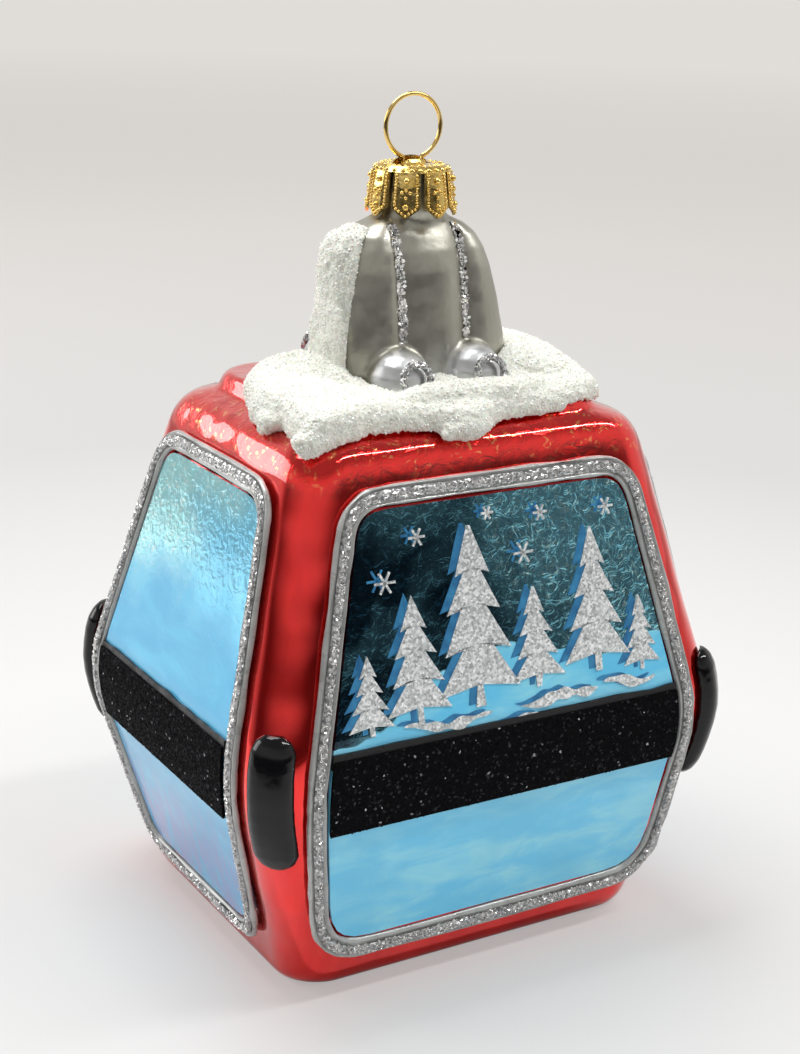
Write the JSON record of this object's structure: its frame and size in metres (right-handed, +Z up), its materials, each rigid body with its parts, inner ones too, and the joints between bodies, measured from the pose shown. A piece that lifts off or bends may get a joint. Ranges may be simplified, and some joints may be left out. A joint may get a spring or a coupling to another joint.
{
  "type": "glass gondola cabin ornament",
  "caption": "Hollow glass tree ornament shaped like a gondola cabin, with framed windows, corner bumpers, a snowy roof, a crown cap and a wire hanging ring.",
  "frame": {"origin": "middle of the flat floor that the ornament stands on", "axes": "+Z up to the hanging ring, the large front window faces -Y, +X to its right"},
  "size_m": [0.0732, 0.0604, 0.1117],
  "materials": {
    "red_glass": "clear red lacquer over silvered glass, glossy",
    "silver_glass": "satin silver lacquer over glass",
    "blue_pane": "pale blue lacquer over crinkled silvered glass",
    "grey_rim": "grey enamel",
    "silver_glitter": "silver glitter in glue",
    "black_glitter": "black glitter over black enamel",
    "black_gloss": "glossy black enamel",
    "snow": "white paste with clear crystals",
    "gold_sheet": "stamped gilt sheet",
    "gold_wire": "gilt wire"
  },
  "bodies": {
    "cabin": {"cabin_glass": "red_glass", "hanger_block": "silver_glass", "roof_snow": "snow", "side_snow": "snow", "pane_front": "blue_pane", "window_frame_front": "grey_rim", "frame_glitter_front": "silver_glitter", "waist_band_front": "black_glitter", "pane_back": "blue_pane", "window_frame_back": "grey_rim", "frame_glitter_back": "silver_glitter", "waist_band_back": "black_glitter", "pane_left": "blue_pane", "window_frame_left": "grey_rim", "frame_glitter_left": "silver_glitter", "waist_band_left": "black_glitter", "pane_right": "blue_pane", "window_frame_right": "grey_rim", "frame_glitter_right": "silver_glitter", "waist_band_right": "black_glitter", "bumper_front_left": "black_gloss", "bumper_front_right": "black_gloss", "bumper_back_left": "black_gloss", "bumper_back_right": "black_gloss", "seam_glitter_front_a": "silver_glitter", "seam_glitter_front_b": "silver_glitter", "boss_glitter_front_left": "silver_glitter", "boss_glitter_front_right": "silver_glitter", "seam_glitter_back_a": "silver_glitter", "seam_glitter_back_b": "silver_glitter", "boss_glitter_back_left": "silver_glitter", "boss_glitter_back_right": "silver_glitter"},
    "cap": {"crown_cap": "gold_sheet"},
    "ring": {"wire_ring": "gold_wire"}
  },
  "joints": [
    {"name": "cap_turn", "type": "hinge", "parent": "cabin", "child": "cap", "pos_m": [0, 0, 0.1026], "axis": [0, 0, 1], "continuous": true},
    {"name": "ring_rock", "type": "hinge", "parent": "cap", "child": "ring", "pos_m": [0, 0, 0.1026], "axis": [1, 0, 0], "range_deg": [-8, 8]}
  ]
}
